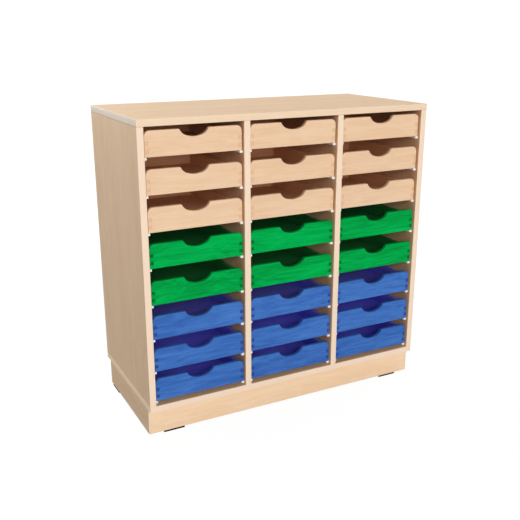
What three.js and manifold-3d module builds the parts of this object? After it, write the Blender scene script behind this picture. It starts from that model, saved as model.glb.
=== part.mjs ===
// Classroom tray storage unit: a board carcass on a plinth, with columns of finger-jointed wooden
// trays that slide on runners. Millimetres, +Z up, front towards -Y, origin on the floor under the
// middle of the unit.
import * as THREE from "three";
import { mergeVertices } from "three/addons/utils/BufferGeometryUtils.js";
import Module from "manifold-3d";

// Gap left between pieces that seat on each other
const SEAT_GAP = 0.3;

// Carcass boards
const BOARD = 18;
const BACK_THICKNESS = 8;
const BACK_INSET = 10;
const GROOVE_DEPTH = 6;
const REAR_SPACE = 34;

// Tray sizes
const TRAY_WIDTH = 266.5;
const TRAY_LENGTH = 352;
const TRAY_SETBACK = 8;
const TRAY_CLEARANCE = 3;

// Tray front: a board with rounded top corners and a finger scoop
const FRONT_THICKNESS = 12;
const FRONT_HEIGHT = 66;
const FRONT_CORNER_RADIUS = 15;
const SCOOP_DEPTH = 20.6;
const SCOOP_MIDDLE_WIDTH = 44;
const SCOOP_MIDDLE_RADIUS = 68;
const SCOOP_SIDE_RADIUS = 30;
const SCOOP_SHOULDER_RADIUS = 4;

// Tray walls and floor, with the fingers counted from the bottom: the odd ones belong to the front
const WALL_THICKNESS = 10;
const WALL_HEIGHT = 50;
const FINGERS = ["front", "wall", "front", "wall", "front"];
const FLOOR_THICKNESS = 4;
const FLOOR_RAISE = 6;

// Runners, each with a chamfered lead-in at the front and a stop behind the tray
const RUNNER_LEDGE = 5.5;
const RUNNER_HEIGHT = 7;
const RUNNER_SETBACK = 10;
const RUNNER_LEAD_IN = 2;
const STOP_LENGTH = 10;
const STOP_HEIGHT = 8;

// Plinth and floor pads
const PLINTH_HEIGHT = 75;
const PLINTH_BOARD = 18;
const PLINTH_FRONT_SETBACK = 20;
const PLINTH_BACK_SETBACK = 31.5;
const PAD_LENGTH = 62;
const PAD_HEIGHT = 4.5;
const FRONT_PAD_OFFSET = 44;
const REAR_PAD_OFFSET = 14;

// Finishes
const BEECH_FACE = { color: "#cdb293", roughness: 0.5 };
const BEECH_SOLID = { color: "#ecc8a5", roughness: 0.45 };
const GREEN_STAIN = { color: "#00a64a", roughness: 0.4 };
const BLUE_STAIN = { color: "#4070ba", roughness: 0.4 };
const PLINTH_FACE = { color: "#e2bd92", roughness: 0.5 };
const BACK_FACE = { color: "#c9a983", roughness: 0.6 };
const PAD_PLASTIC = { color: "#1a1a1a", roughness: 0.6 };

// Columns from the left, and rows from the bottom up. The lift is the free height below a row's
// runners, above the tray front or the bottom panel underneath.
const COLUMNS = ["left", "middle", "right"];
const ROWS = [
  { lift: 3.2, finish: BLUE_STAIN },
  { lift: 14.7, finish: BLUE_STAIN },
  { lift: 20.7, finish: BLUE_STAIN },
  { lift: 23.7, finish: GREEN_STAIN },
  { lift: 28.2, finish: GREEN_STAIN },
  { lift: 22.7, finish: BEECH_SOLID },
  { lift: 23.7, finish: BEECH_SOLID },
  { lift: 22.7, finish: BEECH_SOLID },
];
const TOP_GAP = 10.8;

// Roundness of arcs
const ARC_SEGMENTS = 4;

// Sizes that follow. Carcass frame: x from the left face, y from the front, z from the underside.
const BAY_WIDTH = TRAY_WIDTH + 2 * TRAY_CLEARANCE;
const BAY_PITCH = BAY_WIDTH + BOARD;
const CARCASS_WIDTH = COLUMNS.length * BAY_PITCH + BOARD;
const TRAY_END = TRAY_SETBACK + TRAY_LENGTH;
const BACK_FRONT = TRAY_END + REAR_SPACE;
const BACK_REAR = BACK_FRONT + BACK_THICKNESS;
const CARCASS_DEPTH = BACK_REAR + BACK_INSET;
const RUNNER_WIDTH = TRAY_CLEARANCE + RUNNER_LEDGE;
const FINGER_HEIGHT = WALL_HEIGHT / FINGERS.length;
const TRAY_BOTTOMS = stackRows();
const CARCASS_HEIGHT = TRAY_BOTTOMS.at(-1) + FRONT_HEIGHT + TOP_GAP + BOARD;
const UPRIGHT_BOTTOM = BOARD + SEAT_GAP;
const UPRIGHT_HEIGHT = CARCASS_HEIGHT - 2 * UPRIGHT_BOTTOM;
const CARCASS_LIFT = PAD_HEIGHT + PLINTH_HEIGHT;

// The height of each row's trays above the carcass's underside
function stackRows() {
  let level = BOARD;
  return ROWS.map(({ lift }) => {
    const bottom = level + lift + RUNNER_HEIGHT + SEAT_GAP;
    level = bottom + FRONT_HEIGHT;
    return bottom;
  });
}

const wasm = await Module();
wasm.setup();

// A closed geometry as a solid that can be joined and cut
function toSolid(geometry) {
  const bare = geometry.clone();
  bare.deleteAttribute("normal");
  bare.deleteAttribute("uv");
  const merged = mergeVertices(bare);
  const vertProperties = merged.getAttribute("position").array;
  const triVerts = new Uint32Array(merged.getIndex().array);
  return new wasm.Manifold(new wasm.Mesh({ numProp: 3, vertProperties, triVerts }));
}

// A solid as a geometry
function toGeometry(solid) {
  const { vertProperties, triVerts } = solid.getMesh();
  const geometry = new THREE.BufferGeometry();
  geometry.setAttribute("position", new THREE.BufferAttribute(vertProperties, 3));
  geometry.setIndex(new THREE.BufferAttribute(triVerts, 1));
  geometry.computeVertexNormals();
  return geometry;
}

// A box between two corners
function block([x0, y0, z0], [x1, y1, z1]) {
  const box = new THREE.BoxGeometry(x1 - x0, y1 - y0, z1 - z0);
  return box.translate((x0 + x1) / 2, (y0 + y1) / 2, (z0 + z1) / 2);
}

const joined = (geometries) => geometries.map(toSolid).reduce((whole, piece) => whole.add(piece));
const cut = (solid, tools) => tools.map(toSolid).reduce((rest, tool) => rest.subtract(tool), solid);

// A profile in y and z, carried along x from x0 to x1
const ACROSS = new THREE.Matrix4().makeBasis(
  new THREE.Vector3(0, 1, 0),
  new THREE.Vector3(0, 0, 1),
  new THREE.Vector3(1, 0, 0),
);
function profileAcross(points, x0, x1) {
  const shape = new THREE.Shape(points.map(([y, z]) => new THREE.Vector2(y, z)));
  const geometry = new THREE.ExtrudeGeometry(shape, { depth: x1 - x0, bevelEnabled: false });
  return geometry.applyMatrix4(ACROSS).translate(x0, 0, 0);
}

function piece(name, geometry, { color, roughness }) {
  const material = new THREE.MeshStandardMaterial({ color, roughness, metalness: 0 });
  const mesh = new THREE.Mesh(geometry, material);
  mesh.name = name;
  return mesh;
}

// Tray front outline. The scoop is a shallow arc in the middle that runs into a tighter one on each
// side, and each shoulder is an arc that touches both the scoop and the top edge.
function frontOutline() {
  const half = TRAY_WIDTH / 2;
  const corner = FRONT_CORNER_RADIUS;
  const middle = SCOOP_MIDDLE_RADIUS;
  const side = SCOOP_SIDE_RADIUS;
  const shoulder = SCOOP_SHOULDER_RADIUS;
  const swing = Math.asin(SCOOP_MIDDLE_WIDTH / 2 / middle);
  const middleZ = FRONT_HEIGHT - SCOOP_DEPTH + middle;
  const sideX = (middle - side) * Math.sin(swing);
  const sideZ = middleZ - (middle - side) * Math.cos(swing);
  const shoulderZ = FRONT_HEIGHT - shoulder;
  const shoulderX = sideX + Math.sqrt((side + shoulder) ** 2 - (sideZ - shoulderZ) ** 2);
  const lean = Math.atan2(sideZ - shoulderZ, shoulderX - sideX);
  const down = -Math.PI / 2;
  const shape = new THREE.Shape();
  shape.moveTo(-half, 0);
  shape.lineTo(half, 0);
  shape.absarc(half - corner, FRONT_HEIGHT - corner, corner, 0, Math.PI / 2);
  shape.absarc(shoulderX, shoulderZ, shoulder, Math.PI / 2, Math.PI - lean);
  shape.absarc(sideX, sideZ, side, -lean, down + swing, true);
  shape.absarc(0, middleZ, middle, down + swing, down - swing, true);
  shape.absarc(-sideX, sideZ, side, down - swing, lean - Math.PI, true);
  shape.absarc(-shoulderX, shoulderZ, shoulder, lean, Math.PI / 2);
  shape.absarc(corner - half, FRONT_HEIGHT - corner, corner, Math.PI / 2, Math.PI);
  return shape;
}

// Tray front board: the outline given its thickness, with a socket in each end for every finger of
// the side walls. Its front face lies at y = 0.
function trayFront() {
  const settings = { depth: FRONT_THICKNESS, bevelEnabled: false, curveSegments: ARC_SEGMENTS };
  const board = new THREE.ExtrudeGeometry(frontOutline(), settings);
  board.rotateX(Math.PI / 2).translate(0, FRONT_THICKNESS, 0);
  const half = TRAY_WIDTH / 2;
  const inner = half - WALL_THICKNESS - SEAT_GAP;
  const sockets = FINGERS.flatMap((owner, index) => {
    if (owner === "front") return [];
    const low = index * FINGER_HEIGHT;
    const high = low + FINGER_HEIGHT;
    const y0 = -BOARD;
    const y1 = FRONT_THICKNESS + BOARD;
    return [
      block([inner, y0, low], [half + BOARD, y1, high]),
      block([-half - BOARD, y0, low], [-inner, y1, high]),
    ];
  });
  return toGeometry(cut(toSolid(board), sockets));
}

// Side of a tray wall in y and z, with its fingers reaching through the front board
function wallOutline() {
  const shoulder = FRONT_THICKNESS + SEAT_GAP;
  const fingers = FINGERS.flatMap((owner, index) => {
    if (owner === "front") return [];
    const low = index * FINGER_HEIGHT + SEAT_GAP;
    const high = (index + 1) * FINGER_HEIGHT - SEAT_GAP;
    return [[shoulder, low], [0, low], [0, high], [shoulder, high]];
  });
  const end = TRAY_LENGTH;
  return [[end, WALL_HEIGHT], [end, 0], [shoulder, 0], ...fingers, [shoulder, WALL_HEIGHT]].reverse();
}

// Tray box: two side walls, the back and the floor, glued together
function trayBox() {
  const half = TRAY_WIDTH / 2;
  const inside = half - WALL_THICKNESS;
  const housed = half - WALL_THICKNESS / 2;
  const floorFront = FRONT_THICKNESS + SEAT_GAP;
  const floorTop = FLOOR_RAISE + FLOOR_THICKNESS;
  const backFront = TRAY_LENGTH - WALL_THICKNESS;
  const backMiddle = TRAY_LENGTH - WALL_THICKNESS / 2;
  return toGeometry(joined([
    profileAcross(wallOutline(), -half, -inside),
    profileAcross(wallOutline(), inside, half),
    block([-housed, backFront, 0], [housed, TRAY_LENGTH, WALL_HEIGHT]),
    block([-housed, floorFront, FLOOR_RAISE], [housed, backMiddle, floorTop]),
  ]));
}

// Runner profile in y and z below a tray whose underside is at trayBottom
function runnerOutline(trayBottom) {
  const top = trayBottom - SEAT_GAP;
  const bottom = top - RUNNER_HEIGHT;
  const stopFront = TRAY_END + SEAT_GAP;
  const end = stopFront + STOP_LENGTH;
  return [
    [RUNNER_SETBACK, bottom],
    [end, bottom],
    [end, top + STOP_HEIGHT],
    [stopFront, top + STOP_HEIGHT],
    [stopFront, top],
    [RUNNER_SETBACK + RUNNER_LEAD_IN, top],
    [RUNNER_SETBACK, top - RUNNER_LEAD_IN],
  ];
}

// Space in the boards for the back panel, between two corners of the panel's own outline
function backGroove([x0, z0], [x1, z1]) {
  return block([x0, BACK_FRONT - SEAT_GAP, z0], [x1, BACK_REAR + SEAT_GAP, z1]);
}

// Upright board with its runners. Faces lists the sides that carry runners: -1 left, 1 right. An
// outer side runs the full depth and holds the back panel in a groove, and a divider ends before it.
function upright(faces, isDivider) {
  const depth = isDivider ? BACK_FRONT - SEAT_GAP : CARCASS_DEPTH;
  const board = block([0, 0, 0], [BOARD, depth, UPRIGHT_HEIGHT]);
  const runners = faces.flatMap((face) => {
    const root = BOARD / 2;
    const reach = root + RUNNER_WIDTH;
    const [x0, x1] = face > 0 ? [root, root + reach] : [root - reach, root];
    return TRAY_BOTTOMS.map((z) => profileAcross(runnerOutline(z - UPRIGHT_BOTTOM), x0, x1));
  });
  const whole = joined([board, ...runners]);
  if (isDivider) return toGeometry(whole);
  const [x0, x1] = faces[0] > 0 ? [BOARD - GROOVE_DEPTH, 2 * BOARD] : [-BOARD, GROOVE_DEPTH];
  return toGeometry(cut(whole, [backGroove([x0, -BOARD], [x1, UPRIGHT_HEIGHT + BOARD])]));
}

// Top or bottom panel, with a stopped groove for the back panel in its inner face
function levelPanel(isTop) {
  const board = block([0, 0, 0], [CARCASS_WIDTH, CARCASS_DEPTH, BOARD]);
  const x0 = BOARD - GROOVE_DEPTH;
  const x1 = CARCASS_WIDTH - x0;
  const [z0, z1] = isTop ? [-BOARD, GROOVE_DEPTH] : [BOARD - GROOVE_DEPTH, 2 * BOARD];
  return toGeometry(cut(toSolid(board), [backGroove([x0, z0], [x1, z1])]));
}

// Back panel, with a gap to the bottom of every groove
function backPanel() {
  const hidden = BOARD - GROOVE_DEPTH + SEAT_GAP;
  const corner = [CARCASS_WIDTH - hidden, BACK_REAR, CARCASS_HEIGHT - hidden];
  return block([hidden, BACK_FRONT, hidden], corner);
}

// Plinth: a rectangular frame of upright boards, flush with the sides
const PLINTH_DEPTH = CARCASS_DEPTH - PLINTH_FRONT_SETBACK - PLINTH_BACK_SETBACK;
function rectangle(path, x0, y0, x1, y1) {
  return path.moveTo(x0, y0).lineTo(x1, y0).lineTo(x1, y1).lineTo(x0, y1);
}
function plinthFrame() {
  const inset = PLINTH_BOARD;
  const outline = rectangle(new THREE.Shape(), 0, 0, CARCASS_WIDTH, PLINTH_DEPTH);
  const inner = [inset, inset, CARCASS_WIDTH - inset, PLINTH_DEPTH - inset];
  outline.holes.push(rectangle(new THREE.Path(), ...inner));
  return new THREE.ExtrudeGeometry(outline, { depth: PLINTH_HEIGHT - SEAT_GAP, bevelEnabled: false });
}

// Carcass
const carcass = new THREE.Group();
carcass.position.set(-CARCASS_WIDTH / 2, -CARCASS_DEPTH / 2, CARCASS_LIFT);
const bottomPanel = piece("bottom_panel", levelPanel(false), BEECH_FACE);
const topPanel = piece("top_panel", levelPanel(true), BEECH_FACE);
topPanel.position.z = CARCASS_HEIGHT - BOARD;
carcass.add(bottomPanel, topPanel, piece("back_panel", backPanel(), BACK_FACE));
const UPRIGHTS = ["left_side", ...COLUMNS.slice(1).map((name) => `${name}_divider`), "right_side"];
UPRIGHTS.forEach((name, index) => {
  const last = UPRIGHTS.length - 1;
  const faces = [index > 0 ? -1 : 0, index < last ? 1 : 0].filter(Boolean);
  const board = piece(name, upright(faces, faces.length > 1), BEECH_FACE);
  board.position.set(index * BAY_PITCH, 0, UPRIGHT_BOTTOM);
  carcass.add(board);
});

// Trays, with rows numbered from the top
const frontGeometry = trayFront();
const boxGeometry = trayBox();
COLUMNS.forEach((column, columnIndex) => {
  ROWS.forEach(({ finish }, rowIndex) => {
    const name = `${column}_tray_${ROWS.length - rowIndex}`;
    const tray = new THREE.Group();
    const middle = BOARD + columnIndex * BAY_PITCH + BAY_WIDTH / 2;
    tray.position.set(middle, TRAY_SETBACK, TRAY_BOTTOMS[rowIndex]);
    tray.add(piece(`${name}_front`, frontGeometry, finish));
    tray.add(piece(`${name}_box`, boxGeometry, finish));
    carcass.add(tray);
  });
});

// Plinth with its pads: two under the front board, one under each side board near the back
const base = new THREE.Group();
base.position.set(-CARCASS_WIDTH / 2, PLINTH_FRONT_SETBACK - CARCASS_DEPTH / 2, 0);
const plinth = piece("plinth_frame", plinthFrame(), PLINTH_FACE);
plinth.position.z = PAD_HEIGHT;
base.add(plinth);
const PAD_TOP = PAD_HEIGHT - SEAT_GAP;
const frontPad = () => block([0, 0, 0], [PAD_LENGTH, PLINTH_BOARD, PAD_TOP]);
const rearPad = () => block([0, 0, 0], [PLINTH_BOARD, PAD_LENGTH, PAD_TOP]);
const REAR_PAD_Y = PLINTH_DEPTH - REAR_PAD_OFFSET - PAD_LENGTH;
const PADS = [
  ["front_left_pad", frontPad(), FRONT_PAD_OFFSET, 0],
  ["front_right_pad", frontPad(), CARCASS_WIDTH - FRONT_PAD_OFFSET - PAD_LENGTH, 0],
  ["rear_left_pad", rearPad(), 0, REAR_PAD_Y],
  ["rear_right_pad", rearPad(), CARCASS_WIDTH - PLINTH_BOARD, REAR_PAD_Y],
];
PADS.forEach(([name, geometry, x, y]) => {
  const pad = piece(name, geometry, PAD_PLASTIC);
  pad.position.set(x, y, 0);
  base.add(pad);
});

const unit = new THREE.Group();
unit.add(carcass, base);

export default unit;
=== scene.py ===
"""Classroom tray storage unit, dressed for rendering: boards with rounded edges and wood finishes, edge
bands, plastic runners and floor pads, on a pale floor in soft studio light. Metres, +Z up, front to -Y."""
from collections import namedtuple

import bpy
import numpy as np
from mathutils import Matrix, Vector


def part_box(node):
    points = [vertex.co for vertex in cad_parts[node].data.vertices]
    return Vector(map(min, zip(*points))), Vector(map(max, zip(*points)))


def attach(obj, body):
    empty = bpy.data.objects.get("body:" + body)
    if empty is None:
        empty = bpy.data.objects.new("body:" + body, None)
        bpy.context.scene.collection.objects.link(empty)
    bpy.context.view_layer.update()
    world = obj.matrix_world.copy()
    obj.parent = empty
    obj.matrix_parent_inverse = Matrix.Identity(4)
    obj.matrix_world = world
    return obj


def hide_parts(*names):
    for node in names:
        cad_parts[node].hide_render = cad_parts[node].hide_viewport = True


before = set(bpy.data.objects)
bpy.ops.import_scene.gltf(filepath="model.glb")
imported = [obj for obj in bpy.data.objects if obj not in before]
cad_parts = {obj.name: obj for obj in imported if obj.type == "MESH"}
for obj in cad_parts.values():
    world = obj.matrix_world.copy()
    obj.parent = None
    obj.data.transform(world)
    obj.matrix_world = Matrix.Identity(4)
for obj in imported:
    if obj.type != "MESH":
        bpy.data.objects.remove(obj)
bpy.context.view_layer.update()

AXES = "xyz"
CABINET = "cabinet"
COLUMNS = ("left", "middle", "right")
ROWS = range(1, 9)
ROW_STAINS = dict(zip(ROWS, ["natural"] * 3 + ["green"] * 2 + ["blue"] * 3))

# Tray front: rounded top corners, and a finger scoop that eases into the top edge
FRONT_CORNER = 0.015
SCOOP_DEPTH = 0.0206
SCOOP_MIDDLE_WIDTH = 0.044
SCOOP_MIDDLE_RADIUS = 0.068
SCOOP_SIDE_RADIUS = 0.030
SCOOP_SHOULDER = 0.004
CORNER_STEPS = 8

# Tray joints: fingers counted from the bottom, of which the wall owns the second and the fourth
FINGER_COUNT = 5
WALL_FINGERS = (1, 3)
WALL_THICKNESS = 0.010
FLOOR_THICKNESS = 0.004
FLOOR_RAISE = 0.006
GLUE_LINE = 0.0003
SOCKET_ZONE = 1.5 * WALL_THICKNESS

# Rounding of edges
TRAY_EASE = 0.0018
WALL_EASE = 0.0012
JOINT_EASE = 0.0002
BOARD_EASE = 0.0003
PLINTH_EASE = 0.0012
RUNNER_EASE = 0.0008
PAD_EASE = 0.0005
PAD_CORNER = 0.002
EASE_SEGMENTS = 3
SHARP_TURN = np.radians(30)

# Lengths below which two places count as one
SAME_POINT = 1e-7
SAME_FACE = 1e-6

# Carcass
BAND_THICKNESS = 0.0015
BAND_ROUND = 0.0012
BAND_STEPS = 5
GROOVE_DEPTH = 0.006
GROOVE_PLAY = 0.0003
RUNNER_WIDTH = 0.0085
RUNNER_HEIGHT = 0.007
RUNNER_SETBACK = 0.010
RUNNER_LEAD_IN = 0.002
STOP_LENGTH = 0.010
STOP_HEIGHT = 0.008
PLINTH_BOARD = 0.018
PLINTH_LIP = 0.008

# Camera
CAMERA_PLACE = Vector((-0.9917, -1.9037, 1.0742))
CAMERA_AIM = Vector((-0.0014, 0.0, 0.3976))
CAMERA_LENS = 50.16

# A closed solid, with the finish of each face and the width to which each of its edges is rounded
Solid = namedtuple("Solid", "points faces finishes edges widths")


# Outlines


def arc(centre, radius, start, end, steps):
    """Points on a circle: centre + radius * (cos t, sin t), with t going evenly from start to end."""
    turn = np.linspace(start, end, steps + 1)
    return np.asarray(centre) + radius * np.column_stack([np.cos(turn), np.sin(turn)])


def rectangle(low, high):
    """The four corners between two opposite ones."""
    return np.array([[low[0], low[1]], [high[0], low[1]], [high[0], high[1]], [low[0], high[1]]])


def rounded(corners, radii, steps):
    """A polygon whose corners are arcs. With unit vectors u and v from a corner to its neighbours and half
    the angle between them h, the arc's centre is the corner + (u + v) / |u + v| * radius / sin h, and its
    ends lie radius / tan h along u and v. A radius of 0 leaves the corner as one point."""
    corners = np.asarray(corners, float)
    radii = np.asarray(radii, float)[:, None]
    back = np.roll(corners, 1, axis=0) - corners
    ahead = np.roll(corners, -1, axis=0) - corners
    back /= np.linalg.norm(back, axis=1, keepdims=True)
    ahead /= np.linalg.norm(ahead, axis=1, keepdims=True)
    half = 0.5 * np.arccos(np.sum(back * ahead, axis=1, keepdims=True))
    middle = back + ahead
    centre = corners + middle / np.linalg.norm(middle, axis=1, keepdims=True) * radii / np.sin(half)
    first = (corners + back * radii / np.tan(half) - centre)[:, None]
    last = (corners + ahead * radii / np.tan(half) - centre)[:, None]
    sweep = (np.pi - 2 * half)[:, None]
    share = np.linspace(0, 1, steps + 1)[None, :, None]
    spokes = (np.sin((1 - share) * sweep) * first + np.sin(share * sweep) * last) / np.sin(sweep)
    points = (centre[:, None] + spokes).reshape(-1, 2)
    step = np.linalg.norm(points - np.roll(points, 1, axis=0), axis=1)
    return points[step > SAME_POINT]


def wall_middles(outline):
    """The middle of each of an outline's walls: the mean of a point and the next one."""
    return (outline + np.roll(outline, -1, axis=0)) / 2


# Solids


def carry(outline, plane, span, finish, rims, ends=None):
    """A closed outline carried along one axis: each of its points is set at the low and at the high end of
    the span, neighbours are joined by walls, and each end is one face. Plane names the outline's two axes.
    Finish is that of all walls, or a list for each, and ends are those of the low and the high end face.
    Rims is the rounding of the outline's edges at both ends, or one row of widths for each end. An edge
    along the span is rounded where the outline turns sharply there, by the lesser width beside it."""
    count = len(outline)
    finish = np.broadcast_to(finish, count)
    ends = ends or (finish[-1], finish[-1])
    rims = np.broadcast_to(np.asarray(rims, float), (2, count))
    first, second = (AXES.index(letter) for letter in plane)
    third = 3 - first - second
    following = np.roll(outline, -1, axis=0)
    area = np.sum(outline[:, 0] * following[:, 1] - outline[:, 1] * following[:, 0])
    if area * (1 if (first + 1) % 3 == second else -1) < 0:
        outline = outline[::-1]
        finish = np.roll(finish[::-1], -1)
        rims = np.roll(rims[:, ::-1], -1, axis=1)
    points = np.empty((2, count, 3))
    points[..., first] = outline[:, 0]
    points[..., second] = outline[:, 1]
    points[..., third] = np.array(span)[:, None]
    ring = np.arange(count)
    ahead = np.roll(ring, -1)
    walls = np.column_stack([ring, ahead, ahead + count, ring + count])
    run = np.roll(outline, -1, axis=0) - outline
    heading = np.arctan2(run[:, 1], run[:, 0])
    turn = np.angle(np.exp(1j * (heading - np.roll(heading, 1))))
    beside = np.minimum(rims.min(axis=0), np.roll(rims.min(axis=0), 1))
    posts = np.where(np.abs(turn) > SHARP_TURN, beside, 0)
    edges = np.concatenate([
        np.column_stack([ring, ahead]),
        np.column_stack([ring, ahead]) + count,
        np.column_stack([ring, ring + count]),
    ])
    widths = np.concatenate([rims[0], rims[1], posts])
    faces = [*walls, ring[::-1], ring + count]
    return Solid(points.reshape(-1, 3), faces, [*finish, *ends], edges, widths)


def block(low, high, finish, rims, ends=None):
    """A box between two corners: a rectangle in x and y carried along z."""
    return carry(rectangle(low, high), "xy", (low[2], high[2]), finish, rims, ends)


def edge_band(low, high, outward, along, finish):
    """A strip between two corners whose two outer edges are round. Outward is the axis and side that it
    faces, such as -y, and along is the axis that it runs along."""
    axis = AXES.index(outward[1])
    run = AXES.index(along)
    across = 3 - axis - run
    outer, inner = (high, low) if outward[0] == "+" else (low, high)
    corners = [
        (outer[axis], low[across]),
        (outer[axis], high[across]),
        (inner[axis], high[across]),
        (inner[axis], low[across]),
    ]
    outline = rounded(corners, [BAND_ROUND, BAND_ROUND, 0, 0], BAND_STEPS)
    return carry(outline, AXES[axis] + AXES[across], (low[run], high[run]), finish, JOINT_EASE)


def make_piece(name, body, solids, replaced):
    """Joins solids into one mesh, gives each its finish, and rounds every edge by its own width."""
    starts = np.cumsum([0] + [len(solid.points) for solid in solids])
    points = np.concatenate([solid.points for solid in solids])
    faces = [(face + start).tolist() for solid, start in zip(solids, starts) for face in solid.faces]
    mesh = bpy.data.meshes.new(name)
    mesh.from_pydata(points, [], faces)
    face_finishes = np.concatenate([solid.finishes for solid in solids])
    finishes, indices = np.unique(face_finishes, return_inverse=True)
    for finish in finishes:
        mesh.materials.append(FINISHES[finish])
    mesh.polygons.foreach_set("material_index", indices.astype(np.int32))
    mesh.polygons.foreach_set("use_smooth", np.ones(len(faces), bool))
    edges = np.concatenate([solid.edges + start for solid, start in zip(solids, starts)])
    widths = np.concatenate([solid.widths for solid in solids])
    widest = widths.max()
    pairs = np.empty(2 * len(mesh.edges), np.int32)
    mesh.edges.foreach_get("vertices", pairs)
    keys = np.sort(pairs.reshape(-1, 2), axis=1) @ np.array([len(points), 1])
    known = np.sort(edges, axis=1) @ np.array([len(points), 1])
    order = np.argsort(known)
    weights = widths[order][np.searchsorted(known[order], keys)] / widest
    rounding = mesh.attributes.new("bevel_weight_edge", "FLOAT", "EDGE")
    rounding.data.foreach_set("value", weights.astype(np.float32))
    piece = bpy.data.objects.new(name, mesh)
    bpy.context.scene.collection.objects.link(piece)
    bevel = piece.modifiers.new("rounded_edges", "BEVEL")
    bevel.limit_method = "WEIGHT"
    bevel.width = widest
    bevel.segments = EASE_SEGMENTS
    bevel.use_clamp_overlap = False
    bevel.harden_normals = True
    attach(piece, body)
    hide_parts(*replaced)


# Finishes


class Signal:
    """One output of a shader tree. Arithmetic on signals adds Math nodes to that tree."""

    def __init__(self, finish, socket):
        self.finish = finish
        self.socket = socket

    def math(self, operation, first, second):
        inputs = {"Value": first, "Value_001": second}
        return self.finish.node("ShaderNodeMath", {"operation": operation}, inputs)

    def __add__(self, other):
        return self.math("ADD", self, other)

    def __mul__(self, other):
        return self.math("MULTIPLY", self, other)

    def __abs__(self):
        return self.math("ABSOLUTE", self, 0.0)

    __radd__ = __add__
    __rmul__ = __mul__


class Finish:
    """A shader tree under construction."""

    def __init__(self, tree):
        self.tree = tree
        self.tree.nodes.clear()

    @classmethod
    def material(cls, name):
        material = bpy.data.materials.new(name)
        material.use_nodes = True
        return cls(material.node_tree), material

    def node(self, kind, settings=None, inputs=None, output=None):
        """Adds a node, sets it, then fills or links its inputs by name. Gives one output as a signal."""
        node = self.tree.nodes.new(kind)
        for setting, value in (settings or {}).items():
            setattr(node, setting, value)
        for name, value in (inputs or {}).items():
            socket = next(s for s in node.inputs if name == s.identifier or name == s.name)
            if isinstance(value, Signal):
                self.tree.links.new(value.socket, socket)
            else:
                socket.default_value = value
        if not node.outputs:
            return None
        sockets = [s for s in node.outputs if s.enabled and output in (None, s.identifier, s.name)]
        return Signal(self, sockets[0])

    def blend(self, share, first, second):
        """A colour that goes from first to second as share goes from 0 to 1."""
        inputs = {"Factor_Float": share, "A_Color": first, "B_Color": second}
        return self.node("ShaderNodeMix", {"data_type": "RGBA"}, inputs, "Result_Color")

    def ramp(self, value, low, high):
        """0 below low, 1 above high, and a smooth rise between."""
        inputs = {"Value": value, "From Min": low, "From Max": high}
        return self.node("ShaderNodeMapRange", {"interpolation_type": "SMOOTHSTEP"}, inputs, "Result")

    def noise(self, place, scale, detail, roughness):
        """Cloudy noise about 0.5, with its own scale on each axis."""
        mapped = self.node("ShaderNodeMapping", None, {"Vector": place, "Scale": scale})
        inputs = {"Vector": mapped, "Scale": 1.0, "Detail": detail, "Roughness": roughness}
        return self.node("ShaderNodeTexNoise", None, inputs, "Fac")

    def surface(self, shader):
        self.node("ShaderNodeOutputMaterial", None, {"Surface": shader})


# Display colours: the curve that turns a display value into light
DISPLAY_WHITE = 255
TOE_END = 0.04045
TOE_SLOPE = 12.92
CURVE_OFFSET = 0.055
CURVE_SCALE = 1.055
CURVE_POWER = 2.4

# Wood: layers of noise, each with its scale along and across the grain, and how they mix
Layer = namedtuple("Layer", "along across detail roughness")
BANDS = Layer(2.2, 18.0, 2.0, 0.5)
LINES = Layer(7.0, 85.0, 3.0, 0.6)
FIBRES = Layer(9.0, 420.0, 2.0, 0.6)
FLECKS = Layer(55.0, 620.0, 1.0, 0.5)
WANDER_SCALE = 5.0
WANDER_DETAIL = 1.0
WANDER_REACH = (0.03, 0.03, 0.03)
BAND_SHARE = 0.25
LINE_SHARE = 0.37
FIBRE_SHARE = 0.38
FIGURE_RAMP = (0.36, 0.64)
FLECK_RAMP = (0.62, 0.72)
END_GRAIN_RAMP = (0.75, 0.95)
END_GRAIN_SHARE = 0.9
WOOD_ROUGHNESS = 0.40
FIBRE_ROUGHNESS = 0.14
FLECK_ROUGHNESS = 0.08
END_GRAIN_ROUGHNESS = 0.12
FIBRE_HEIGHT = 0.6
FLECK_HEIGHT = -0.5
WOOD_BUMP = {"Strength": 0.25, "Distance": 0.0003}

# Moulded plastic: a cloudy tint and a fine texture
CLOUD_SCALE = (30.0, 30.0, 30.0)
CLOUD_DETAIL = 3.0
CLOUD_RAMP = (0.3, 0.7)
CLOUD_ROUGHNESS = 0.12
TEXTURE_SCALE = (1500.0, 1500.0, 1500.0)
TEXTURE_DETAIL = 2.0
PLASTIC_NOISE_ROUGHNESS = 0.5
PLASTIC_BUMP = {"Strength": 0.3, "Distance": 0.0002}


def linear(colour):
    """A display colour of 0 to 255 as linear light. With c from 0 to 1 it is ((c + 0.055) / 1.055) to the
    power 2.4, and c / 12.92 in the dark toe of the curve."""
    share = np.array(colour) / DISPLAY_WHITE
    curve = ((share + CURVE_OFFSET) / CURVE_SCALE) ** CURVE_POWER
    light = np.where(share <= TOE_END, share / TOE_SLOPE, curve)
    return (*light.tolist(), 1.0)


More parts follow.
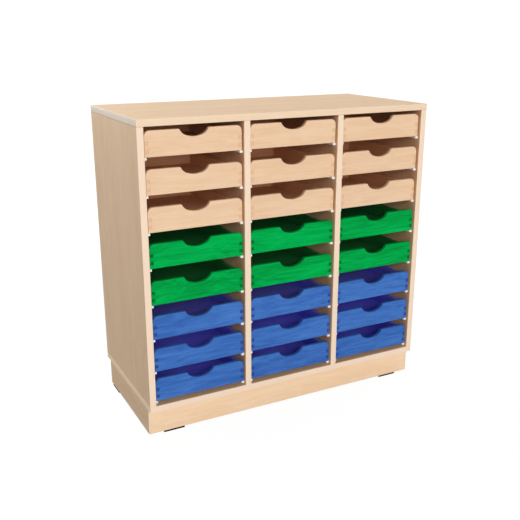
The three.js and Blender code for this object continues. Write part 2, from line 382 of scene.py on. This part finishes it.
# A wood's light, dark and end-grain display colours, and the strength of its figure, flecks and sheen
Wood = namedtuple("Wood", "light dark end figure fleck sheen")
# The copies of natural, green, blue and board wood for inner faces have painted shade and bounce light in
# their colour: darker and redder for natural and board, darker and greyer for green, lighter and more
# violet for blue.
WOODS = {
    "natural": Wood((242, 208, 174), (231, 190, 151), (230, 192, 155), 0.75, 0.12, 0.15),
    "natural_inside": Wood((242, 187, 144), (229, 166, 120), (229, 186, 148), 0.75, 0.12, 0.1),
    "green": Wood((0, 187, 86), (0, 143, 59), (0, 110, 46), 1.0, 0.16, 0.03),
    "green_inside": Wood((48, 142, 76), (42, 122, 62), (22, 96, 43), 1.0, 0.16, 0.05),
    "blue": Wood((74, 126, 202), (51, 97, 175), (43, 72, 150), 1.0, 0.14, 0.08),
    "blue_inside": Wood((129, 127, 252), (115, 110, 240), (43, 70, 148), 1.0, 0.14, 0.05),
    "board": Wood((229, 200, 169), (220, 188, 154), (207, 176, 143), 0.9, 0.08, 0.02),
    "board_inside": Wood((228, 187, 148), (218, 173, 132), (206, 167, 130), 0.9, 0.08, 0.02),
    "plinth": Wood((251, 222, 188), (245, 207, 168), (234, 196, 158), 0.9, 0.10, 0.1),
    "back": Wood((232, 206, 174), (218, 190, 156), (210, 178, 144), 0.8, 0.08, 0.1),
    "band": Wood((250, 225, 200), (246, 218, 191), (244, 216, 189), 0.5, 0.03, 0.1),
    "panel_band": Wood((244, 217, 186), (239, 209, 176), (237, 206, 174), 0.5, 0.03, 0.1),
    "end_band": Wood((226, 212, 196), (221, 206, 189), (219, 204, 187), 0.5, 0.03, 0.05),
}


def streaks(finish, place, grain, layer):
    """A layer of noise drawn out along the grain: one scale on its axis, and another on the other two."""
    scale = tuple(layer.along if letter == grain else layer.across for letter in AXES)
    return finish.noise(place, scale, layer.detail, layer.roughness)


def wood(kind, grain):
    """Wood with its grain along one axis: broad bands, wavy fibres and short dark flecks, all drawn out
    along the grain, with darker end grain where the surface faces along it."""
    look = WOODS[kind]
    light, dark, end = (linear(colour) for colour in (look.light, look.dark, look.end))
    finish, material = Finish.material(f"{kind}_{grain}")
    place = finish.node("ShaderNodeTexCoord", output="Object")
    facing = finish.node("ShaderNodeTexCoord", output="Normal")
    inputs = {"Vector": place, "Scale": WANDER_SCALE, "Detail": WANDER_DETAIL}
    wander = finish.node("ShaderNodeTexNoise", None, inputs, "Color")
    inputs = {"Vector": wander, "Vector_001": WANDER_REACH, "Vector_002": place}
    bend = finish.node("ShaderNodeVectorMath", {"operation": "MULTIPLY_ADD"}, inputs)
    bands = streaks(finish, bend, grain, BANDS)
    lines = streaks(finish, bend, grain, LINES)
    fibres = streaks(finish, bend, grain, FIBRES)
    flecks = finish.ramp(streaks(finish, bend, grain, FLECKS), *FLECK_RAMP)
    along = finish.node("ShaderNodeSeparateXYZ", None, {"Vector": facing}, grain.upper())
    end_grain = finish.ramp(abs(along), *END_GRAIN_RAMP)
    mixed = bands * BAND_SHARE + lines * LINE_SHARE + fibres * FIBRE_SHARE
    figure = finish.ramp(mixed, *FIGURE_RAMP)
    colour = finish.blend(figure * look.figure, light, dark)
    colour = finish.blend(flecks * look.fleck, colour, end)
    colour = finish.blend(end_grain * END_GRAIN_SHARE, colour, end)
    rough = WOOD_ROUGHNESS + fibres * FIBRE_ROUGHNESS + flecks * FLECK_ROUGHNESS
    height = fibres * FIBRE_HEIGHT + flecks * FLECK_HEIGHT
    shader = finish.node("ShaderNodeBsdfPrincipled", None, {
        "Base Color": colour,
        "Roughness": rough + end_grain * END_GRAIN_ROUGHNESS,
        "Normal": finish.node("ShaderNodeBump", None, {**WOOD_BUMP, "Height": height}),
        "Specular IOR Level": look.sheen,
    })
    finish.surface(shader)
    return material


def moulded_plastic(name, light, dark, rough, sheen):
    """Moulded plastic: a faint cloudiness in the colour and a fine leather-like texture."""
    finish, material = Finish.material(name)
    place = finish.node("ShaderNodeTexCoord", output="Object")
    cloud = finish.noise(place, CLOUD_SCALE, CLOUD_DETAIL, PLASTIC_NOISE_ROUGHNESS)
    texture = finish.noise(place, TEXTURE_SCALE, TEXTURE_DETAIL, PLASTIC_NOISE_ROUGHNESS)
    shader = finish.node("ShaderNodeBsdfPrincipled", None, {
        "Base Color": finish.blend(finish.ramp(cloud, *CLOUD_RAMP), linear(light), linear(dark)),
        "Roughness": rough + cloud * CLOUD_ROUGHNESS,
        "Normal": finish.node("ShaderNodeBump", None, {**PLASTIC_BUMP, "Height": texture}),
        "Specular IOR Level": sheen,
    })
    finish.surface(shader)
    return material


FINISHES = {
    f"{kind}_{grain}": wood(kind, grain)
    for kind, grains in {
        "natural": "xy",
        "natural_inside": "xy",
        "green": "xy",
        "green_inside": "xy",
        "blue": "xy",
        "blue_inside": "xy",
        "board": "xyz",
        "board_inside": "xz",
        "plinth": "x",
        "back": "z",
        "band": "xz",
        "panel_band": "xyz",
        "end_band": "y",
    }.items()
    for grain in grains
}
FINISHES["runner"] = moulded_plastic("runner", (250, 250, 248), (244, 245, 244), rough=0.35, sheen=0.4)
FINISHES["pad"] = moulded_plastic("pad", (26, 24, 22), (18, 17, 16), rough=0.6, sheen=0.0)


# Trays


def finger_steps(finger, play, root, tip):
    """The corners of the wall's fingers from the bottom up: each goes from root to tip a play above its own
    level, and back from tip to root a play below the next one."""
    rise = np.array([play, play, finger - play, finger - play])
    levels = finger * np.array(WALL_FINGERS)[:, None] + rise
    depths = np.broadcast_to([root, tip, tip, root], levels.shape)
    return np.column_stack([depths.ravel(), levels.ravel()])


def front_outline(half, height, finger):
    """Tray front in x and z, from its bottom right corner up and over: sockets for the wall's fingers, the
    corner arc, a shoulder arc that touches both the top edge and the scoop, and the scoop, which is a tight
    arc at the side that runs into a shallow one in the middle. The left half is the mirror image."""
    swing = np.arcsin(SCOOP_MIDDLE_WIDTH / 2 / SCOOP_MIDDLE_RADIUS)
    middle_z = height - SCOOP_DEPTH + SCOOP_MIDDLE_RADIUS
    side_x = (SCOOP_MIDDLE_RADIUS - SCOOP_SIDE_RADIUS) * np.sin(swing)
    side_z = middle_z - (SCOOP_MIDDLE_RADIUS - SCOOP_SIDE_RADIUS) * np.cos(swing)
    shoulder_z = height - SCOOP_SHOULDER
    shoulder_x = side_x + np.sqrt((SCOOP_SIDE_RADIUS + SCOOP_SHOULDER) ** 2 - (side_z - shoulder_z) ** 2)
    lean = np.arctan2(side_z - shoulder_z, shoulder_x - side_x)
    join = swing - np.pi / 2
    right = np.concatenate([
        [(half, 0)],
        finger_steps(finger, 0, half, half - WALL_THICKNESS - GLUE_LINE),
        arc((half - FRONT_CORNER, height - FRONT_CORNER), FRONT_CORNER, 0, np.pi / 2, CORNER_STEPS),
        arc((shoulder_x, shoulder_z), SCOOP_SHOULDER, np.pi / 2, np.pi - lean, CORNER_STEPS)[:-1],
        arc((side_x, side_z), SCOOP_SIDE_RADIUS, -lean, join, CORNER_STEPS)[:-1],
        arc((0, middle_z), SCOOP_MIDDLE_RADIUS, join, -np.pi / 2, CORNER_STEPS),
    ])
    return np.concatenate([right, (right * (-1, 1))[-2::-1]])


def tray_front(tray, stain):
    """Tray front board: its outline carried through its thickness. The long edges are well rounded, and
    those in the sockets hardly."""
    low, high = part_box(f"{tray}_front")
    box_low, box_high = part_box(f"{tray}_box")
    half = (high.x - low.x) / 2
    finger = (box_high.z - box_low.z) / FINGER_COUNT
    outline = front_outline(half, high.z - low.z, finger)
    middle = wall_middles(outline)
    reach = np.abs(middle[:, 0])
    in_socket = (reach > half - SOCKET_ZONE) & (reach < half - SAME_FACE)
    in_socket &= middle[:, 1] < FINGER_COUNT * finger
    rims = np.where(in_socket, JOINT_EASE, TRAY_EASE)
    placed = outline + ((low.x + high.x) / 2, low.z)
    board = carry(placed, "xz", (low.y, high.y), f"{stain}_x", rims)
    make_piece(f"{tray}_front_board", tray, [board], [f"{tray}_front"])


def wall_outline(low, high, shoulder, finger):
    """Tray wall in y and z: a board whose front end has fingers that reach through the front board."""
    return np.concatenate([
        [(shoulder, low.z)],
        finger_steps(finger, GLUE_LINE, shoulder, low.y) + (0, low.z),
        [(shoulder, high.z), (high.y, high.z), (high.y, low.z)],
    ])


def tray_box(tray, stain):
    """Tray walls, back and floor. A finger's tip is rounded at the tray's outer side as the front is."""
    low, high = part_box(f"{tray}_box")
    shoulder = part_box(f"{tray}_front")[1].y + GLUE_LINE
    outline = wall_outline(low, high, shoulder, (high.z - low.z) / FINGER_COUNT)
    middle = wall_middles(outline)
    hidden = middle[:, 0] < shoulder + SAME_FACE
    tip = middle[:, 0] < low.y + SAME_FACE
    inner_rim = np.where(hidden, JOINT_EASE, WALL_EASE)
    outer_rim = np.where(tip, TRAY_EASE, inner_rim)
    left_inside = low.x + WALL_THICKNESS
    right_inside = high.x - WALL_THICKNESS
    back_front = high.y - WALL_THICKNESS
    outer = f"{stain}_y"
    # Inner faces, wall tops, the back's inner face and top, and the floor take the stain's copy with
    # painted shade and bounce light in its colour.
    inner = f"{stain}_inside_y"
    wall = np.where(middle[:, 1] > high.z - SAME_FACE, inner, outer)
    back = [f"{stain}_inside_x", *[f"{stain}_x"] * 3]
    back_ends = (f"{stain}_x", f"{stain}_inside_x")
    floor_z = low.z + FLOOR_RAISE
    solids = [
        carry(outline, "yz", (low.x, left_inside), wall, [outer_rim, inner_rim], (outer, inner)),
        carry(outline, "yz", (right_inside, high.x), wall, [inner_rim, outer_rim], (inner, outer)),
        block(
            (left_inside, back_front, low.z),
            (right_inside, high.y, high.z),
            back,
            WALL_EASE,
            back_ends,
        ),
        block(
            (left_inside, shoulder, floor_z),
            (right_inside, back_front, floor_z + FLOOR_THICKNESS),
            f"{stain}_inside_x",
            JOINT_EASE,
        ),
    ]
    make_piece(f"{tray}_box_boards", tray, solids, [f"{tray}_box"])


for column in COLUMNS:
    for row in ROWS:
        tray_front(f"{column}_tray_{row}", ROW_STAINS[row])
        tray_box(f"{column}_tray_{row}", ROW_STAINS[row])


# Carcass

PANEL_LOW, PANEL_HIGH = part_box("top_panel")
BASE_LOW, BASE_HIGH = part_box("bottom_panel")
BACK_LOW, BACK_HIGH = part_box("back_panel")
BOARD = PANEL_HIGH.z - PANEL_LOW.z
GROOVE_FRONT = BACK_LOW.y - GROOVE_PLAY
GROOVE_REAR = BACK_HIGH.y + GROOVE_PLAY


def grooved(front, rear, face, inside):
    """Section of a board with a groove for the back panel: depth first, then thickness. Face is the plain
    side and inside the grooved one."""
    bottom = inside + np.sign(face - inside) * GROOVE_DEPTH
    return np.array([
        (front, face),
        (front, inside),
        (GROOVE_FRONT, inside),
        (GROOVE_FRONT, bottom),
        (GROOVE_REAR, bottom),
        (GROOVE_REAR, inside),
        (rear, inside),
        (rear, face),
    ])


def grooved_finish(section, grain):
    """The finish of a grooved board: its plain side is the section's last wall, and the other walls take
    the board's copy with painted shade.
    """
    return [f"board_inside_{grain}"] * (len(section) - 1) + [f"board_{grain}"]


def level_panel(node, low, high, is_top):
    """Top or bottom panel: a grooved core with a band round its four edges."""
    face, inside = (high.z, low.z) if is_top else (low.z, high.z)
    front = low.y + BAND_THICKNESS
    rear = high.y - BAND_THICKNESS
    left = low.x + BAND_THICKNESS
    right = high.x - BAND_THICKNESS
    long_band, end_band = ("panel_band_x", "end_band_y") if is_top else ("band_x", "panel_band_y")
    section = grooved(front, rear, face, inside)
    core = carry(section, "yz", (left, right), grooved_finish(section, "x"), BOARD_EASE)
    bands = [
        edge_band(low, (high.x, front, high.z), "-y", "x", long_band),
        edge_band((low.x, rear, low.z), high, "+y", "x", long_band),
        edge_band((low.x, front, low.z), (left, rear, high.z), "-x", "y", end_band),
        edge_band((right, front, low.z), (high.x, rear, high.z), "+x", "y", end_band),
    ]
    make_piece(f"{node}_board", CABINET, [core, *bands], [node])


def upright(node, left, is_divider):
    """Upright board with its left face at left: a core, grooved unless it is a divider, and a band on its
    front edge and, where it shows, on its rear edge."""
    low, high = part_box(node)
    right = left + BOARD
    front = low.y + BAND_THICKNESS
    rear = high.y if is_divider else high.y - BAND_THICKNESS
    span = (low.z, high.z)
    if is_divider:
        section = rectangle((front, left), (rear, right))
        # A divider stands inside the cabinet, so all its faces take the board's copy with painted shade.
        finish = "board_inside_z"
    else:
        outside, inside = (left, right) if left < 0 else (right, left)
        section = grooved(front, rear, outside, inside)
        finish = grooved_finish(section, "z")
    solids = [
        carry(section, "yx", span, finish, BOARD_EASE),
        edge_band((left, low.y, low.z), (right, front, high.z), "-y", "z", "band_z"),
    ]
    if not is_divider:
        solids.append(edge_band((left, rear, low.z), (right, high.y, high.z), "+y", "z", "band_z"))
    make_piece(f"{node}_board", CABINET, solids, [node])


def runner_outline(top, front, tray_end):
    """Runner in y and z: a bar with a chamfered lead-in at the front and an upstand behind the tray."""
    bottom = top - RUNNER_HEIGHT
    stop = tray_end + GLUE_LINE
    end = stop + STOP_LENGTH
    return np.array([
        (front, bottom),
        (end, bottom),
        (end, top + STOP_HEIGHT),
        (stop, top + STOP_HEIGHT),
        (stop, top),
        (front + RUNNER_LEAD_IN, top),
        (front, top - RUNNER_LEAD_IN),
    ])


def runner_set(node, spans):
    """The plastic runners on an upright: one bar under every row, for each span in x."""
    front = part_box(node)[0].y + RUNNER_SETBACK
    trays = [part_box(f"left_tray_{row}_box") for row in ROWS]
    bars = [
        carry(runner_outline(low.z - GLUE_LINE, front, high.y), "yz", span, "runner", RUNNER_EASE)
        for low, high in trays
        for span in spans
    ]
    make_piece(f"{node}_runners", CABINET, bars, [node])


level_panel("top_panel", PANEL_LOW, PANEL_HIGH, True)
level_panel("bottom_panel", BASE_LOW, BASE_HIGH, False)
LEFT_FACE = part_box("left_side")[0].x
RIGHT_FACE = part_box("right_side")[1].x
UPRIGHTS = ("left_side", "middle_divider", "right_divider", "right_side")
PITCH = (RIGHT_FACE - LEFT_FACE - BOARD) / len(COLUMNS)
for index, node in enumerate(UPRIGHTS):
    left = LEFT_FACE + index * PITCH
    right = left + BOARD
    spans = []
    if index > 0:
        spans.append((left - RUNNER_WIDTH, left))
    if index < len(COLUMNS):
        spans.append((right, right + RUNNER_WIDTH))
    upright(node, left, len(spans) > 1)
    runner_set(node, spans)
BACK_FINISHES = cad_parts["back_panel"].data.materials
BACK_FINISHES.clear()
BACK_FINISHES.append(FINISHES["back_z"])


# Plinth and pads


def plinth():
    """Front and back boards between two side boards, in x and y, carried up. Each end of a side board is
    rebated, which leaves a lip that covers the end of the front or the back board."""
    low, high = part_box("plinth_frame")
    front_inner = low.y + PLINTH_BOARD
    back_inner = high.y - PLINTH_BOARD
    lip = low.x + PLINTH_LIP
    inner = low.x + PLINTH_BOARD
    left = np.array([
        (low.x, low.y),
        (lip, low.y),
        (lip, front_inner),
        (inner, front_inner),
        (inner, back_inner),
        (lip, back_inner),
        (lip, high.y),
        (low.x, high.y),
    ])
    right = left * (-1, 1) + (low.x + high.x, 0)
    tips = ("panel_band_z", *["board_y"] * 5, "panel_band_z", "board_y")
    side_rims = [PLINTH_EASE, *[JOINT_EASE] * 5, PLINTH_EASE, PLINTH_EASE]
    front = rectangle((lip, low.y), (high.x - PLINTH_LIP, front_inner))
    back = rectangle((lip, back_inner), (high.x - PLINTH_LIP, high.y))
    span = (low.z, high.z)
    boards = [
        carry(left, "xy", span, tips, side_rims),
        carry(right, "xy", span, tips, side_rims),
        carry(front, "xy", span, "plinth_x", [PLINTH_EASE, *[JOINT_EASE] * 3]),
        carry(back, "xy", span, "plinth_x", [JOINT_EASE, JOINT_EASE, PLINTH_EASE, JOINT_EASE]),
    ]
    make_piece("plinth_boards", CABINET, boards, ["plinth_frame"])


def floor_pad(node):
    """Floor pad: a rectangle with round corners carried up."""
    low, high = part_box(node)
    outline = rounded(rectangle(low, high), [PAD_CORNER] * 4, CORNER_STEPS)
    pad = carry(outline, "xy", (low.z, high.z), "pad", PAD_EASE)
    make_piece(f"{node}_foot", CABINET, [pad], [node])


plinth()
for node in ("front_left_pad", "front_right_pad", "rear_left_pad", "rear_right_pad"):
    floor_pad(node)


# Studio

FLOOR_REACH = 12.0
FLOOR_COLOUR = (0.6, 0.6, 0.6, 1.0)
FLOOR_GLOW = 1.08
FLOOR_GLOW_SHARE = 0.88
SHADOW_NEAR = 0.7
SHADOW_FAR = 2.2
WHITE = (1.0, 1.0, 1.0, 1.0)
SKY_SEEN = 1.03
SKY_LEVEL = 0.13
LIGHT_AIM = Vector((0.0, 0.0, 0.42))
Lamp = namedtuple("Lamp", "place size power")
LAMPS = {
    "key": Lamp(Vector((-2.6, -6.75, 2.9)), 3.0, 205.0),
    "front_fill": Lamp(Vector((0.5, -7.0, 2.4)), 3.0, 182.0),
    "overhead": Lamp(Vector((0.7, 0.5, 2.8)), 1.8, 17.0),
    "left_fill": Lamp(Vector((-1.25, 0.0, 1.7)), 0.9, 7.2),
    "right_fill": Lamp(Vector((3.8, 0.8, 1.4)), 2.0, 80.0),
    "back_fill": Lamp(Vector((-1.0, 3.8, 1.7)), 2.0, 90.0),
}


def seen_directly(finish):
    """1 for rays that show the background itself: from the camera, mirrored or passing through."""
    kinds = ("Camera", "Glossy", "Transmission")
    path = [finish.node("ShaderNodeLightPath", output=f"Is {kind} Ray") for kind in kinds]
    either = path[0].math("MAXIMUM", path[0], path[1])
    return either.math("MAXIMUM", either, path[2])


def floor():
    """A flat square whose corners lie at plus and minus the reach in x and y. It glows white where it is
    seen, and near the unit less so, which leaves the unit's shadow there."""
    reach = np.array([-FLOOR_REACH, FLOOR_REACH])
    x, y = np.meshgrid(reach, reach)
    points = np.column_stack([x.ravel(), y.ravel(), np.zeros(x.size)])
    mesh = bpy.data.meshes.new("floor")
    mesh.from_pydata(points, [], [(0, 1, 3, 2)])
    finish, material = Finish.material("floor")
    matt = finish.node("ShaderNodeBsdfDiffuse", None, {"Color": FLOOR_COLOUR})
    glow = finish.node("ShaderNodeEmission", None, {"Color": WHITE, "Strength": FLOOR_GLOW})
    place = finish.node("ShaderNodeTexCoord", output="Object")
    distance = finish.node("ShaderNodeVectorMath", {"operation": "LENGTH"}, {"Vector": place}, "Value")
    open_floor = finish.ramp(distance, SHADOW_NEAR, SHADOW_FAR)
    share = seen_directly(finish) * (FLOOR_GLOW_SHARE + open_floor * (1.0 - FLOOR_GLOW_SHARE))
    inputs = {"Fac": share, "Shader": matt, "Shader_001": glow}
    finish.surface(finish.node("ShaderNodeMixShader", None, inputs))
    mesh.materials.append(material)
    ground = bpy.data.objects.new("floor", mesh)
    bpy.context.scene.collection.objects.link(ground)


def sky():
    """White where it is seen, and an even soft light elsewhere."""
    world = bpy.data.worlds.new("studio")
    world.use_nodes = True
    finish = Finish(world.node_tree)
    soft = finish.node("ShaderNodeBackground", None, {"Color": WHITE, "Strength": SKY_LEVEL})
    white = finish.node("ShaderNodeBackground", None, {"Color": WHITE, "Strength": SKY_SEEN})
    inputs = {"Fac": seen_directly(finish), "Shader": soft, "Shader_001": white}
    surface = finish.node("ShaderNodeMixShader", None, inputs)
    finish.node("ShaderNodeOutputWorld", None, {"Surface": surface})
    bpy.context.scene.world = world


def soft_box(name, lamp):
    """A square lamp that faces the unit."""
    light = bpy.data.lights.new(name, "AREA")
    light.size = lamp.size
    light.energy = lamp.power
    holder = bpy.data.objects.new(name, light)
    holder.location = lamp.place
    holder.rotation_euler = (LIGHT_AIM - lamp.place).to_track_quat("-Z", "Y").to_euler()
    bpy.context.scene.collection.objects.link(holder)


def camera():
    """The photograph's view, from a little above the unit and towards its front left corner."""
    lens = bpy.data.cameras.new("camera")
    lens.lens = CAMERA_LENS
    eye = bpy.data.objects.new("camera", lens)
    eye.location = CAMERA_PLACE
    eye.rotation_euler = (CAMERA_AIM - CAMERA_PLACE).to_track_quat("-Z", "Y").to_euler()
    bpy.context.scene.collection.objects.link(eye)
    bpy.context.scene.camera = eye


floor()
sky()
for name, lamp in LAMPS.items():
    soft_box(name, lamp)
camera()
bpy.context.scene.view_settings.view_transform = "Standard"
